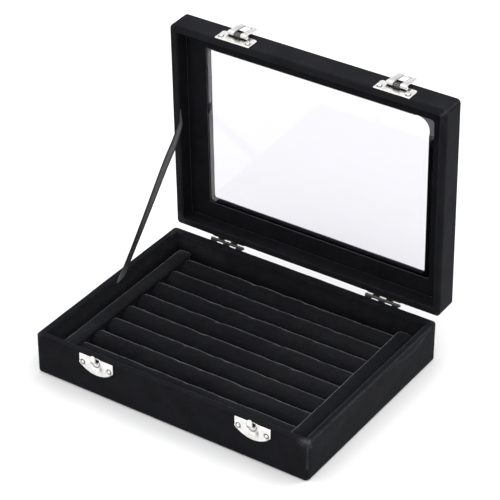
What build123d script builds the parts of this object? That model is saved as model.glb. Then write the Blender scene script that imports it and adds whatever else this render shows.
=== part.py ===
from build123d import *
from math import atan2, cos, degrees, hypot, radians, sin
import os

# A ring display box in black velvet: a shallow base with a tray of ring rolls, and a glass lid on two
# rear hinges, which a ribbon holds open and two hasps keep shut.
# Millimetres, +X to the right, +Y to the back, +Z up. The origin is the middle of the underside.
# The lid and all it carries are drawn shut, then turned back about the hinge pins to the open angle.

# ---- Driving dimensions ----

# Case, over the velvet
box_width = 200.0
box_depth = 150.0
base_height = 28.0
lid_height = 17.5
rim_gap = 0.5
open_angle = 88.2
case_corner = 3.0
closed_edge = 1.6
rim_outer_edge = 1.2
rim_inner_edge = 0.7

# Boards and velvet
velvet = 0.8
wall_board = 3.4
floor_board = 3.0
bottom_hem = 9.0
bottom_sheet_gap = 0.3

# Window, from the outside of the lid to the opening in its board
window_border_left = 18.7
window_border_right = 18.5
window_border_front = 18.0
window_border_back = 18.0
window_corner = 5.0

# Inner frame, from the outside of the lid to the opening in its card, which is cut by hand and less true
card_border_left = 20.5
card_border_right = 14.0
card_border_front = 16.9
card_border_back = 17.5
card_corner = 3.5

# Lid's boards and glass
top_board = 3.4
glass = 2.0
inner_card = 1.4
card_edge = 0.5
glass_play = 0.3

# Ring tray
tray_gap = 5.5
tray_board = 2.0
roll_count = 8
roll_gap = 0.1
roll_side_height = 3.1
roll_end_edge = 1.2
rail_width = 9.75
rail_height = 14.1
rail_edge = 1.8
rail_corner = 2.5

# Rear hinges
hinge_inset = 40.7
hinge_width = 24.5
hinge_setback = 1.75
leaf_height = 11.0
leaf_metal = 0.6
leaf_gap = 0.2
knuckle_count = 5
knuckle_gap = 0.1
knuckle_root = 0.95
hinge_barrel_radius = 1.0
hinge_pin_radius = 0.45
hinge_nail_inset = 4.25

# Running clearance between a pin and its knuckles, on the radius
pin_play = 0.05
pin_head_metal = 0.4
pin_head_step = 0.35

# Latches: the plates
latch_inset_left = 47.0
latch_inset_right = 38.5
latch_width = 25.5
latch_metal = 0.8
keeper_drop = 0.2
keeper_side_height = 6.8
keeper_height = 12.3
keeper_nail_drop = 5.7
lid_plate_rise = 0.1
lid_plate_height = 10.2
lid_plate_nail_rise = 3.2
lid_plate_bevel = 1.2
plate_nail_inset = 2.8

# Latches: the hook on the keeper
hook_width = 4.0
hook_metal = 0.9
hook_root_drop = 3.2
hook_knee_drop = 0.8
hook_rise = 3.0
hook_reach = 4.0
hook_bend = 1.6
hook_corner = 1.7
hook_slot_play = 0.2

# Latches: the hasp
hasp_axis_rise = 7.3
hasp_barrel_radius = 1.6
hasp_pin_radius = 0.55
hasp_width = 13.8
hasp_length = 14.6
hasp_metal = 0.7
hasp_plate_play = 0.1
hasp_window_width = 4.8
hasp_bar = 3.1
hasp_corner = 2.0
hasp_lip = 1.5
hasp_lip_rise = 1.1
hasp_lip_bend = 2.0
hasp_knuckle_play = 0.2
hasp_swing = 188.0
knuckle_slot_play = 0.4

# Nails
nail_shank_radius = 0.5
nail_hole_play = 0.05
nail_length = 3.2
nail_head_radius = 1.15
nail_head_height = 0.8

# Ribbon stay on the left
ribbon_width = 6.0
ribbon_thickness = 0.4
ribbon_wall_gap = 0.1
ribbon_base_place = 7.5
ribbon_base_drop = 1.0
ribbon_lid_place = -6.5
ribbon_lid_depth = 2.0
ribbon_glued = 5.0

# ---- Places worked out from them ----

lid_rim = base_height + rim_gap
lid_top = lid_rim + lid_height
front = -box_depth / 2
back = box_depth / 2

board_width = box_width - 2 * velvet
board_depth = box_depth - 2 * velvet
lined_width = board_width - 2 * wall_board
lined_depth = board_depth - 2 * wall_board
inside_width = lined_width - 2 * velvet
inside_depth = lined_depth - 2 * velvet

hinge_y = back + hinge_setback
hinge_z = base_height
hinge_axis = Axis((0, hinge_y, hinge_z), (1, 0, 0))
hinge_places = {"left": -box_width / 2 + hinge_inset, "right": box_width / 2 - hinge_inset}

latch_places = {"left": -box_width / 2 + latch_inset_left, "right": box_width / 2 - latch_inset_right}
hasp_off_face = latch_metal + hasp_plate_play + hasp_barrel_radius
hasp_y = front - hasp_off_face
hasp_z = lid_rim + hasp_axis_rise
hasp_axis = Axis((0, hasp_y, hasp_z), (1, 0, 0))

# Planes to draw on, seen from outside: the front face and the back face
front_face = Plane(origin=(0, front, 0), x_dir=(1, 0, 0), z_dir=(0, -1, 0))
back_face = Plane(origin=(0, back, 0), x_dir=(-1, 0, 0), z_dir=(0, 1, 0))


def opened(shape):
    """Turns a piece of the shut lid back to the open angle."""
    return shape.rotate(hinge_axis, -open_angle)


def block(width, depth, low, high):
    """A plain block about the Z axis, between two heights."""
    return Pos(0, 0, (low + high) / 2) * Box(width, depth, high - low)


def rounded_block(width, depth, low, high, corner):
    """A block with rounded upright corners."""
    solid = block(width, depth, low, high)
    return fillet(solid.edges().filter_by(Axis.Z), corner)


def span(low, high, radius, y, z):
    """A round bar along X from low to high."""
    return Pos((low + high) / 2, y, z) * Rot(0, 90, 0) * Cylinder(radius, high - low)


# ---- The two halves of the case ----
# Each is a tray of thin boards with velvet glued round it. Both are drawn as an open tray, with the closed
# side at height 0 and the rim on top; the lid's is then turned over.


def velvet_cover(height, mouth):
    """Velvet over the outside and the rim. The mouth is the hole in its closed side."""
    cover = rounded_block(box_width, box_depth, 0, height, case_corner)
    cover = fillet(cover.faces().sort_by(Axis.Z)[0].edges(), closed_edge)
    cover = fillet(cover.faces().sort_by(Axis.Z)[-1].edges(), rim_outer_edge)
    cover -= rounded_block(board_width, board_depth, velvet, height - velvet, case_corner - velvet)
    cover -= block(inside_width, inside_depth, height - velvet, height)
    rim = cover.faces().sort_by(Axis.Z)[-1]
    cover = fillet(rim.inner_wires()[0].edges(), rim_inner_edge)
    return cover - mouth


def end_board(side, height):
    """A front or back wall board, which runs the full width; side is -1 or 1."""
    slab = Pos(0, side * (board_depth - wall_board) / 2, height / 2) * Box(board_width, wall_board, height)
    return slab & rounded_block(board_width, board_depth, velvet, height - velvet, case_corner - velvet)


def side_board(side, height):
    """A left or right wall board, which fits between the front and back boards."""
    slab = Box(wall_board, lined_depth, height - 2 * velvet)
    return Pos(side * (board_width - wall_board) / 2, 0, height / 2) * slab


def velvet_walls(low, high):
    """Velvet on the inner faces of the four walls."""
    return block(lined_width, lined_depth, low, high) - block(inside_width, inside_depth, low, high)


def wall_boards(half, height):
    """The four wall boards of one half, by node name."""
    return {
        f"{half}_front_board": end_board(-1, height),
        f"{half}_back_board": end_board(1, height),
        f"{half}_left_board": side_board(-1, height),
        f"{half}_right_board": side_board(1, height),
    }


# ---- Base ----

floor_top = velvet + floor_board
tray_low = floor_top + velvet


def base_pieces():
    """Boards, velvet and the sheet under the bottom, which covers the edges of the turned-under velvet."""
    hem_width = box_width - 2 * bottom_hem
    hem_depth = box_depth - 2 * bottom_hem
    sheet = block(hem_width - 2 * bottom_sheet_gap, hem_depth - 2 * bottom_sheet_gap, 0, velvet)
    pieces = wall_boards("base", base_height)
    pieces["base_bottom_board"] = block(lined_width, lined_depth, velvet, floor_top)
    pieces["base_velvet_cover"] = velvet_cover(base_height, block(hem_width, hem_depth, 0, velvet))
    pieces["base_velvet_lining"] = (
        velvet_walls(floor_top, base_height - velvet) + block(lined_width, lined_depth, floor_top, tray_low)
    )
    pieces["base_bottom_sheet"] = sheet
    return pieces


# ---- Ring tray: soft rolls side by side on a board, with a rail across their ends at each side ----

tray_width = inside_width - 2 * tray_gap
tray_depth = inside_depth - 2 * tray_gap
tray_top = tray_low + tray_board
roll_pitch = tray_depth / roll_count
roll_radius = (roll_pitch - roll_gap) / 2
roll_length = tray_width - 2 * rail_width - 2 * roll_gap


def ring_roll(number):
    """A soft roll: flat sides below, a round crown above, and its ends a little drawn in."""
    middle_z = tray_top + roll_side_height
    rise = roll_radius * sin(radians(45))
    sides = Polyline(
        (-roll_radius, middle_z),
        (-roll_radius, tray_top),
        (roll_radius, tray_top),
        (roll_radius, middle_z),
    )
    crown = (0, middle_z + roll_radius)
    right_arc = ThreePointArc((roll_radius, middle_z), (rise, middle_z + rise), crown)
    left_arc = ThreePointArc(crown, (-rise, middle_z + rise), (-roll_radius, middle_z))
    section = Plane.YZ * make_face(sides + right_arc + left_arc)
    roll = extrude(section, roll_length / 2, both=True)
    ends = roll.edges().filter_by(GeomType.CIRCLE)
    roll = fillet(ends, roll_end_edge)
    return Pos(0, (number - (roll_count + 1) / 2) * roll_pitch, 0) * roll


def side_rail(side):
    """The rail that closes the rolls' ends, a little higher than they are."""
    rail = rounded_block(rail_width, tray_depth, tray_top, tray_top + rail_height, rail_corner)
    rail = fillet(rail.faces().sort_by(Axis.Z)[-1].edges(), rail_edge)
    return Pos(side * (tray_width - rail_width) / 2, 0, 0) * rail


def tray_pieces():
    """The board, the rolls from front to back, and the two rails."""
    pieces = {"tray_board": block(tray_width, tray_depth, tray_low, tray_top)}
    for number in range(1, roll_count + 1):
        pieces[f"ring_roll_{number}"] = ring_roll(number)
    pieces["side_rail_left"] = side_rail(-1)
    pieces["side_rail_right"] = side_rail(1)
    return pieces


# ---- Lid: a frame of boards, the glass against its underside, and a velvet card frame that holds it ----

glass_high = velvet + top_board
card_high = glass_high + glass
window_borders = (window_border_left, window_border_right, window_border_front, window_border_back)
card_borders = (card_border_left, card_border_right, card_border_front, card_border_back)


def opening(borders, low, high, corner):
    """A hole with rounded corners, whose borders to the left, right, front and back are given."""
    left, right, near, far = borders
    hole = rounded_block(box_width - left - right, box_depth - near - far, low, high, corner)
    return Pos((left - right) / 2, (near - far) / 2, 0) * hole


def window_hole(low, high):
    """The opening in the lid's board and in the velvet over it."""
    return opening(window_borders, low, high, window_corner)


def inner_frame():
    """Card under velvet, with its edge round the window softened."""
    high = card_high + inner_card
    frame = block(inside_width - 2 * glass_play, inside_depth - 2 * glass_play, card_high, high)
    frame -= opening(card_borders, card_high, high, card_corner)
    mouth = frame.faces().sort_by(Axis.Z)[-1].inner_wires()[0]
    return fillet(mouth.edges(), card_edge)


def lid_pieces():
    """The lid's case, turned over onto the base's rim and then opened."""
    pieces = wall_boards("lid", lid_height)
    top = block(lined_width, lined_depth, velvet, glass_high)
    pieces["lid_top_board"] = top - window_hole(velvet, glass_high)
    pieces["lid_velvet_cover"] = velvet_cover(lid_height, window_hole(0, velvet))
    pieces["lid_velvet_lining"] = velvet_walls(glass_high, lid_height - velvet)
    pieces["glass_pane"] = block(
        inside_width - 2 * glass_play, inside_depth - 2 * glass_play, glass_high, card_high
    )
    pieces["lid_inner_frame"] = inner_frame()
    turned = {name: Pos(0, 0, lid_top) * mirror(piece, about=Plane.XY) for name, piece in pieces.items()}
    return {name: opened(piece) for name, piece in turned.items()}


# ---- Nails ----


def nail():
    """A round-headed nail along -Z, with the underside of its head at the origin."""
    ball_radius = (nail_head_radius**2 + nail_head_height**2) / (2 * nail_head_height)
    ball = Pos(0, 0, nail_head_height - ball_radius) * Sphere(ball_radius)
    head = ball & block(4 * nail_head_radius, 4 * nail_head_radius, 0, nail_head_height)
    shank = Pos(0, 0, -nail_length / 2) * Cylinder(nail_shank_radius, nail_length)
    return head + shank


def nails_at(face, metal, points):
    """Nails through metal of that thickness, as one group of separate pieces."""
    return Compound([face.offset(metal) * Pos(x, z, 0) * nail() for x, z in points])


def nail_holes(face, metal, points):
    """What the plate loses for its nails."""
    radius = nail_shank_radius + nail_hole_play
    holes = [extrude(face * Pos(x, z, 0) * Circle(radius), metal) for x, z in points]
    return Part() + holes


# ---- Rear hinges: two leaves nailed to the back faces, knuckles in turn on one pin ----

knuckle_width = (hinge_width - (knuckle_count - 1) * knuckle_gap) / knuckle_count
leaf_start = hinge_barrel_radius + leaf_gap
hinge_nail_offsets = (hinge_nail_inset - hinge_width / 2, hinge_width / 2 - hinge_nail_inset)


def leaf_nails(x, way):
    """The nail points of a leaf on the back face, whose own x runs the other way."""
    z = hinge_z + way * (leaf_start + leaf_height) / 2
    return [(-x + offset, z) for offset in hinge_nail_offsets]


def hinge_leaf(x, way, first):
    """A leaf that runs up (way 1) or down (way -1) from the pin, with every second knuckle."""
    height = leaf_height - leaf_start
    plate = Pos(0, back + leaf_metal / 2, hinge_z + way * (leaf_start + height / 2)) * Box(
        hinge_width, leaf_metal, height
    )
    for number in range(first, knuckle_count, 2):
        low = number * (knuckle_width + knuckle_gap) - hinge_width / 2
        strap = Box(knuckle_width, knuckle_root, leaf_start)
        strap = Pos(low + knuckle_width / 2, back + knuckle_root / 2, hinge_z + way * leaf_start / 2) * strap
        plate += strap + span(low, low + knuckle_width, hinge_barrel_radius, hinge_y, hinge_z)
    plate -= span(-hinge_width / 2, hinge_width / 2, hinge_pin_radius + pin_play, hinge_y, hinge_z)
    leaf = Pos(x, 0, 0) * plate
    return leaf - nail_holes(back_face, leaf_metal, leaf_nails(x, way))


def headed_pin(x, width, radius, y, z):
    """A pin through knuckles of that width, spread at both ends so that it stays in."""
    reach = width / 2 + knuckle_gap
    pin = span(-reach, reach, radius, y, z)
    for side in (-1, 1):
        ends = sorted((side * reach, side * (reach + pin_head_metal)))
        pin += span(*ends, radius + pin_head_step, y, z)
    return Pos(x, 0, 0) * pin


def hinge_pieces():
    """Both hinges, and the nails of the base leaves and of the lid leaves as two groups."""
    pieces = {}
    for side, x in hinge_places.items():
        pieces[f"hinge_{side}_base_leaf"] = hinge_leaf(x, -1, 0)
        pieces[f"hinge_{side}_lid_leaf"] = opened(hinge_leaf(x, 1, 1))
        pieces[f"hinge_{side}_pin"] = headed_pin(x, hinge_width, hinge_pin_radius, hinge_y, hinge_z)
    low_points = [point for x in hinge_places.values() for point in leaf_nails(x, -1)]
    high_points = [point for x in hinge_places.values() for point in leaf_nails(x, 1)]
    pieces["hinge_nails_base"] = nails_at(back_face, leaf_metal, low_points)
    pieces["hinge_nails_lid"] = opened(nails_at(back_face, leaf_metal, high_points))
    return pieces


# ---- Latches: a keeper with a hook on the base, and a hasp on a plate on the lid ----

keeper_top = base_height - keeper_drop
plate_low = lid_rim + lid_plate_rise
plate_nail_offsets = (plate_nail_inset - latch_width / 2, latch_width / 2 - plate_nail_inset)


def keeper_nails(x):
    """The nail points of a keeper."""
    return [(x + offset, base_height - keeper_nail_drop) for offset in plate_nail_offsets]


def lid_plate_nails(x):
    """The nail points of a lid plate."""
    return [(x + offset, lid_rim + lid_plate_nail_rise) for offset in plate_nail_offsets]


def keeper(x):
    """A plate with a rounded lower edge, and a round-topped tongue pressed out of it that stands up past the
    rim."""
    left, right = x - latch_width / 2, x + latch_width / 2
    side_low = keeper_top - keeper_side_height
    sides = Polyline((left, side_low), (left, keeper_top), (right, keeper_top), (right, side_low))
    low_edge = ThreePointArc((right, side_low), (x, keeper_top - keeper_height), (left, side_low))
    plate = extrude(front_face * make_face(sides + low_edge), latch_metal)
    root = base_height - hook_root_drop
    slot_high = keeper_top - latch_metal
    slot_low = root + hook_metal
    slot = Rectangle(hook_width + 2 * hook_slot_play, slot_high - slot_low)
    plate -= extrude(front_face * Pos(x, (slot_low + slot_high) / 2, 0) * slot, latch_metal)
    plate -= nail_holes(front_face, latch_metal, keeper_nails(x))
    upright = front - hook_reach + hook_metal / 2
    path = FilletPolyline(
        (x, front - latch_metal / 2, root),
        (x, upright, base_height - hook_knee_drop),
        (x, upright, base_height + hook_rise),
        radius=hook_bend,
    )
    section = Plane(origin=path @ 0, x_dir=(1, 0, 0), z_dir=path % 0) * Rectangle(hook_width, hook_metal)
    low, high = root - hook_metal, base_height + hook_rise
    outline = Pos(x, (low + high) / 2, 0) * Rectangle(hook_width, high - low)
    outline = fillet(outline.vertices().group_by(Axis.Y)[-1], hook_corner)
    tongue = sweep(section, path=path) & extrude(front_face * outline, 2 * hook_reach)
    return plate + tongue


def lid_plate(x):
    """The plate on the lid, whose middle knuckle the hasp turns on."""
    outline = Pos(x, plate_low + lid_plate_height / 2, 0) * Rectangle(latch_width, lid_plate_height)
    outline = chamfer(outline.vertices().group_by(Axis.Y)[-1], lid_plate_bevel)
    plate = extrude(front_face * outline, latch_metal)
    half_knuckle = hasp_window_width / 2 - hasp_knuckle_play
    slot_width = (hasp_width - hasp_window_width) / 2
    slot_height = 2 * (hasp_barrel_radius - knuckle_slot_play)
    for side in (-1, 1):
        place = Pos(x + side * (hasp_window_width + slot_width) / 2, hasp_z, 0)
        plate -= extrude(front_face * place * Rectangle(slot_width, slot_height), latch_metal)
    plate -= nail_holes(front_face, latch_metal, lid_plate_nails(x))
    neck = Pos(x, front - hasp_off_face / 2, hasp_z) * Box(2 * half_knuckle, hasp_off_face, hasp_barrel_radius)
    plate += neck + span(x - half_knuckle, x + half_knuckle, hasp_barrel_radius, hasp_y, hasp_z)
    return plate - span(x - half_knuckle, x + half_knuckle, hasp_pin_radius + pin_play, hasp_y, hasp_z)


def hasp(x):
    """The hasp as it lies when shut: a strip from the barrel with a window, a bar and a turned-out lip."""
    strip_y = hasp_y + hasp_barrel_radius - hasp_metal / 2
    low = hasp_z - hasp_length
    path = FilletPolyline(
        (x, strip_y, hasp_z),
        (x, strip_y, low + hasp_lip),
        (x, strip_y - hasp_lip_rise, low),
        radius=hasp_lip_bend,
    )
    section = Plane(origin=path @ 0, x_dir=(1, 0, 0), z_dir=path % 0) * Rectangle(hasp_width, hasp_metal)
    strip = sweep(section, path=path)
    outline = Pos(x, (low + hasp_z) / 2, 0) * Rectangle(hasp_width, hasp_length + hasp_metal)
    outline = fillet(outline.vertices().group_by(Axis.Y)[0], hasp_corner)
    strip &= extrude(front_face * outline, 2 * hasp_off_face)
    strip += span(x - hasp_width / 2, x + hasp_width / 2, hasp_barrel_radius, hasp_y, hasp_z)
    window_low = low + hasp_bar
    window_high = hasp_z + 2 * hasp_barrel_radius
    window = Pos(x, (window_low + window_high) / 2, 0) * Rectangle(hasp_window_width, window_high - window_low)
    strip -= extrude(front_face * window, 2 * hasp_off_face)
    return strip - span(x - hasp_width / 2, x + hasp_width / 2, hasp_pin_radius + pin_play, hasp_y, hasp_z)


def latch_pieces():
    """Both latches, each hasp folded back over the lid, and the nails as two groups."""
    pieces = {}
    for side, x in latch_places.items():
        pieces[f"keeper_{side}"] = keeper(x)
        pieces[f"lid_plate_{side}"] = opened(lid_plate(x))
        pieces[f"hasp_{side}"] = opened(hasp(x).rotate(hasp_axis, -hasp_swing))
        pieces[f"hasp_{side}_pin"] = opened(headed_pin(x, hasp_width, hasp_pin_radius, hasp_y, hasp_z))
    low_points = [point for x in latch_places.values() for point in keeper_nails(x)]
    high_points = [point for x in latch_places.values() for point in lid_plate_nails(x)]
    pieces["latch_nails_base"] = nails_at(front_face, latch_metal, low_points)
    pieces["latch_nails_lid"] = opened(nails_at(front_face, latch_metal, high_points))
    return pieces


# ---- Ribbon stay: glued inside the left walls of base and lid, and tight when the lid is open ----


def open_place(y, z):
    """Where a point of the shut lid is when the lid is open."""
    turn = radians(open_angle)
    out, up = y - hinge_y, z - hinge_z
    return hinge_y + cos(turn) * out + sin(turn) * up, hinge_z - sin(turn) * out + cos(turn) * up


def ribbon_stay():
    """A straight tight ribbon, flat against the left walls, with its glued ends."""
    low_y, low_z = ribbon_base_place, base_height - ribbon_base_drop
    high_y, high_z = open_place(ribbon_lid_place, lid_rim + ribbon_lid_depth)
    length = hypot(high_y - low_y, high_z - low_z) + 2 * ribbon_glued
    slope = degrees(atan2(high_z - low_z, high_y - low_y))
    x = -inside_width / 2 + ribbon_wall_gap + ribbon_thickness / 2
    strip = Box(ribbon_thickness, length, ribbon_width)
    return Pos(x, (low_y + high_y) / 2, (low_z + high_z) / 2) * Rot(slope, 0, 0) * strip


# ---- Files ----

os.makedirs("parts", exist_ok=True)
box_pieces = base_pieces() | tray_pieces() | lid_pieces() | hinge_pieces() | latch_pieces()
box_pieces["ribbon_stay"] = ribbon_stay()
for node, piece in box_pieces.items():
    export_step(piece, f"parts/{node}.step")
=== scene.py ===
from math import cos, exp, pi, radians, sin

import bmesh
import bpy
import numpy as np
from mathutils import Matrix, Vector, noise


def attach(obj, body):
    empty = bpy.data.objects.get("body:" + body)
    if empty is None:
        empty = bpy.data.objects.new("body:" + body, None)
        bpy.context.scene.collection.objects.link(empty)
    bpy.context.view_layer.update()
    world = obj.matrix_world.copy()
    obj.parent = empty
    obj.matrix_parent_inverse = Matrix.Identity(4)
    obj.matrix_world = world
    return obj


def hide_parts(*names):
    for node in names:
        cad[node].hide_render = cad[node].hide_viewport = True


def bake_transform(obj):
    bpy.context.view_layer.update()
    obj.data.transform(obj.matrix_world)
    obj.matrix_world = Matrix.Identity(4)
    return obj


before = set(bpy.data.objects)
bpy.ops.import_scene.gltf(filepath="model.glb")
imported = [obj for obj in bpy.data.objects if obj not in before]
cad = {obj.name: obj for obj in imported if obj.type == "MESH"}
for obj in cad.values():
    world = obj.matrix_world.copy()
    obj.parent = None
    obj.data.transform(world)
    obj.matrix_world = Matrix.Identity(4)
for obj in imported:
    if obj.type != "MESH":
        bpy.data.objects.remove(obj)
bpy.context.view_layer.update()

# ---- Camera ----
# It stands in front of the box and to its right, and looks down into it. Its lens is long, so that the box's
# edges run nearly parallel.

camera_lens = bpy.data.cameras.new("camera")
camera_lens.sensor_width = 36.0
camera_lens.lens = 165.54
camera = bpy.data.objects.new("camera", camera_lens)
bpy.context.scene.collection.objects.link(camera)
camera_place = Matrix.Translation((0.6543, -0.9716, 0.8463))
camera_aim = Vector((-0.4638, 0.6987, -0.5446)).to_track_quat("-Z", "Y").to_matrix().to_4x4()
camera.matrix_world = camera_place @ camera_aim @ Matrix.Rotation(radians(0.17), 4, "Z")
bpy.context.scene.camera = camera

# ---- Table top and light ----
# A pale matt table top under an even white light that is strongest overhead, with one large soft lamp above
# and behind on the right, and a weaker one above on the left.


def start_finish(name):
    """A new material, its node tree and its shader."""
    material = bpy.data.materials.new(name)
    material.use_nodes = True
    return material, material.node_tree, material.node_tree.nodes["Principled BSDF"]


def add_node(tree, kind, settings=None, **inputs):
    """A node with its settings; an input is a number, a colour or another node's output."""
    node = tree.nodes.new(kind)
    for name, value in (settings or {}).items():
        setattr(node, name, value)
    for name, value in inputs.items():
        socket = node.inputs[name.replace("_", " ")]
        if isinstance(value, bpy.types.NodeSocket):
            tree.links.new(value, socket)
        else:
            socket.default_value = value
    return node


def grain(tree, per_metre, stretch=(1, 1, 1), detail=2.0, coarse=0.5):
    """Soft random grain over the piece, from 0 to 1, drawn out along an axis by a low stretch."""
    place = add_node(tree, "ShaderNodeTexCoord").outputs["Object"]
    place = add_node(tree, "ShaderNodeMapping", Vector=place, Scale=stretch).outputs[0]
    return add_node(
        tree, "ShaderNodeTexNoise", Vector=place, Scale=per_metre, Detail=detail, Roughness=coarse
    ).outputs["Fac"]


def between(tree, amount, low, high, start=0.3, end=0.7):
    """A number that goes from low to high as the amount goes from start to end."""
    return add_node(
        tree, "ShaderNodeMapRange", Value=amount, From_Min=start, From_Max=end, To_Min=low, To_Max=high
    ).outputs[0]


def two_tone(tree, amount, first, second, start=0.3, end=0.7):
    """A colour that goes from the first to the second as the amount goes from start to end."""
    share = between(tree, amount, 0.0, 1.0, start, end)
    mix = tree.nodes.new("ShaderNodeMix")
    mix.data_type = "RGBA"
    tree.links.new(share, mix.inputs["Factor"])
    for socket, colour in ((mix.inputs[6], first), (mix.inputs[7], second)):
        if isinstance(colour, bpy.types.NodeSocket):
            tree.links.new(colour, socket)
        else:
            socket.default_value = (*colour, 1.0)
    return mix.outputs[2]


def raise_grain(tree, shader, height, depth, strength=1.0):
    """Bumps of that depth, in metres, on top of any the shader already has."""
    node = add_node(tree, "ShaderNodeBump", Height=height, Distance=depth, Strength=strength)
    if shader.inputs["Normal"].is_linked:
        tree.links.new(shader.inputs["Normal"].links[0].from_socket, node.inputs["Normal"])
    tree.links.new(node.outputs[0], shader.inputs["Normal"])


def millimetre_mesh(name, points, faces, material=None, smooth=True):
    """A mesh object from points in millimetres."""
    mesh = bpy.data.meshes.new(name)
    mesh.from_pydata((np.asarray(points, float) / 1000).tolist(), [], faces)
    mesh.validate()
    mesh.polygons.foreach_set("use_smooth", [smooth] * len(mesh.polygons))
    piece = bpy.data.objects.new(name, mesh)
    bpy.context.scene.collection.objects.link(piece)
    if material:
        mesh.materials.append(material)
    return piece


def paper_white():
    """Matt white paper with a faint tooth."""
    material, tree, shader = start_finish("table_paper")
    tooth = grain(tree, 900, detail=3)
    white = two_tone(tree, tooth, (0.924, 0.924, 0.924), (0.93, 0.93, 0.93))
    tree.links.new(white, shader.inputs["Base Color"])
    shader.inputs["Roughness"].default_value = 0.9
    raise_grain(tree, shader, tooth, 0.00002, 0.05)
    return material


table_half = 3000.0
table_height = -0.05
table_corners = [(-1, -1), (1, -1), (1, 1), (-1, 1)]
table_top = millimetre_mesh(
    "table_top",
    [(x * table_half, y * table_half, table_height) for x, y in table_corners],
    [(0, 1, 2, 3)],
    paper_white(),
)

world = bpy.data.worlds.new("even_white")
bpy.context.scene.world = world
world.use_nodes = True
sky = world.node_tree
upward = add_node(
    sky, "ShaderNodeSeparateXYZ", Vector=add_node(sky, "ShaderNodeTexCoord").outputs["Generated"]
).outputs["Z"]
sky_white = two_tone(sky, upward, (0.62, 0.62, 0.63), (1.32, 1.32, 1.33), 0.0, 0.9)
sky.links.new(sky_white, sky.nodes["Background"].inputs["Color"])
sky.nodes["Background"].inputs["Strength"].default_value = 1.0
bpy.context.scene.view_settings.view_transform = "Standard"


def soft_lamp(name, place, aim, width, watts):
    """A square lamp of that width that faces its aim."""
    lamp = bpy.data.lights.new(name, "AREA")
    lamp.size = width
    lamp.energy = watts
    holder = bpy.data.objects.new(name, lamp)
    bpy.context.scene.collection.objects.link(holder)
    turn = (Vector(aim) - Vector(place)).to_track_quat("-Z", "Y")
    holder.matrix_world = Matrix.Translation(place) @ turn.to_matrix().to_4x4()


soft_lamp("lamp_behind_right", (0.7, 0.9, 1.5), (0.0, 0.0, 0.05), 0.9, 9.0)
soft_lamp("lamp_above_left", (-0.5, -0.3, 1.6), (0.0, 0.0, 0.05), 0.8, 4.0)

# ---- Boards ----
# Thin fibreboard, cut square and glued into two shallow trays. It is all under velvet, apart from the raw
# edge of the lid's window board, which is of grey board.


def pressed_board(name, pale, dark):
    """Board of pressed fibres, with small flecks."""
    material, tree, shader = start_finish(name)
    fibres = grain(tree, 700, (1, 1, 3), 4, 0.6)
    flecks = grain(tree, 3200, (1, 1, 1), 1)
    tone = two_tone(tree, fibres, pale, dark)
    dark_fleck = tuple(0.5 * channel for channel in dark)
    tree.links.new(two_tone(tree, flecks, tone, dark_fleck, 0.62, 0.72), shader.inputs["Base Color"])
    tree.links.new(between(tree, fibres, 0.75, 0.95), shader.inputs["Roughness"])
    raise_grain(tree, shader, fibres, 0.0002, 0.5)
    return material


def finish_nodes(material, *nodes):
    """Gives CAD nodes whose shape is right their finish."""
    for node in nodes:
        cad[node].data.materials.clear()
        cad[node].data.materials.append(material)


fibreboard = pressed_board("fibreboard", (0.42, 0.32, 0.21), (0.27, 0.19, 0.12))
grey_board = pressed_board("grey_board", (0.24, 0.24, 0.24), (0.15, 0.15, 0.15))
wall_boards = [
    f"{half}_{side}_board" for half in ("base", "lid") for side in ("front", "back", "left", "right")
]
finish_nodes(fibreboard, "base_bottom_board", "tray_board", *wall_boards)

# ---- Velvet over the base ----
# Short black velvet, glued round the walls. It is turned over the rim to the inside, and under the bottom as
# a hem. Its corners are folded like a parcel, and the pile is paler with wear at the corners. The pale lines
# along the rim's edges on the right and the paler right-hand face are painted highlights and painted light.

half_width = 100.0
half_depth = 75.0
case_corner = 3.0
least_corner = 0.35
rim_height = 28.0
velvet_thick = 0.8
rim_width = 5.0
hem_width = 9.0


def velvet(name, deep, brushed, sheen, nap=(1, 1, 1)):
    """Short pile: dark where one looks into it, paler at a glance and where it is brushed. Its nap is also
    paler where it has wear and where light and highlights are painted on.
    """
    material, tree, shader = start_finish(name)
    brushing = grain(tree, 90, nap, 4, 0.65)
    fibres = grain(tree, 800, nap, 3, 0.7)
    wear_and_painted_light = add_node(tree, "ShaderNodeAttribute", {"attribute_name": "wear_and_painted_light"}).outputs["Fac"]
    patch = add_node(tree, "ShaderNodeMath", {"operation": "MULTIPLY"})
    tree.links.new(wear_and_painted_light, patch.inputs[0])
    tree.links.new(between(tree, grain(tree, 900, detail=3), 0.45, 1.25), patch.inputs[1])
    tone = two_tone(tree, brushing, deep, brushed)
    tone = two_tone(tree, fibres, tone, tuple(2.2 * channel for channel in brushed), 0.5, 0.85)
    # Paler nap, for real wear and for painted light and painted highlights.
    pale_nap_wear_and_light = (0.085, 0.086, 0.092)
    tree.links.new(two_tone(tree, patch.outputs[0], tone, pale_nap_wear_and_light, 0.0, 1.0), shader.inputs["Base Color"])
    tree.links.new(between(tree, fibres, 0.82, 1.0), shader.inputs["Roughness"])
    shader.inputs["Specular IOR Level"].default_value = 0.1
    shader.inputs["Sheen Weight"].default_value = sheen
    shader.inputs["Sheen Roughness"].default_value = 0.22
    shader.inputs["Sheen Tint"].default_value = (0.88, 0.92, 1.0, 1.0)
    raise_grain(tree, shader, brushing, 0.0006, 0.25)
    raise_grain(tree, shader, fibres, 0.0002, 0.5)
    return material


black_velvet = velvet("black_velvet", (0.0034, 0.0036, 0.0050), (0.0075, 0.0078, 0.0098), 0.35)


def side_places(half_length, fine, coarse):
    """Places along a straight side, from -1 to 1, that crowd towards both ends."""
    places, at, step = [0.0], 0.0, fine
    while at < half_length:
        at += step
        step = min(coarse, step * 1.25)
        places.append(at)
    rising = [min(1.0, place / half_length) for place in places]
    rising[-1] = 1.0
    ends = [1.0 - share for share in reversed(rising)]
    return [-share for share in reversed(ends)][:-1] + ends


long_places = side_places(half_width, 0.5, 2.5)
short_places = side_places(half_depth, 0.5, 2.5)
corner_turns = np.linspace(0, pi / 2, 9)[1:-1]


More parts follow.
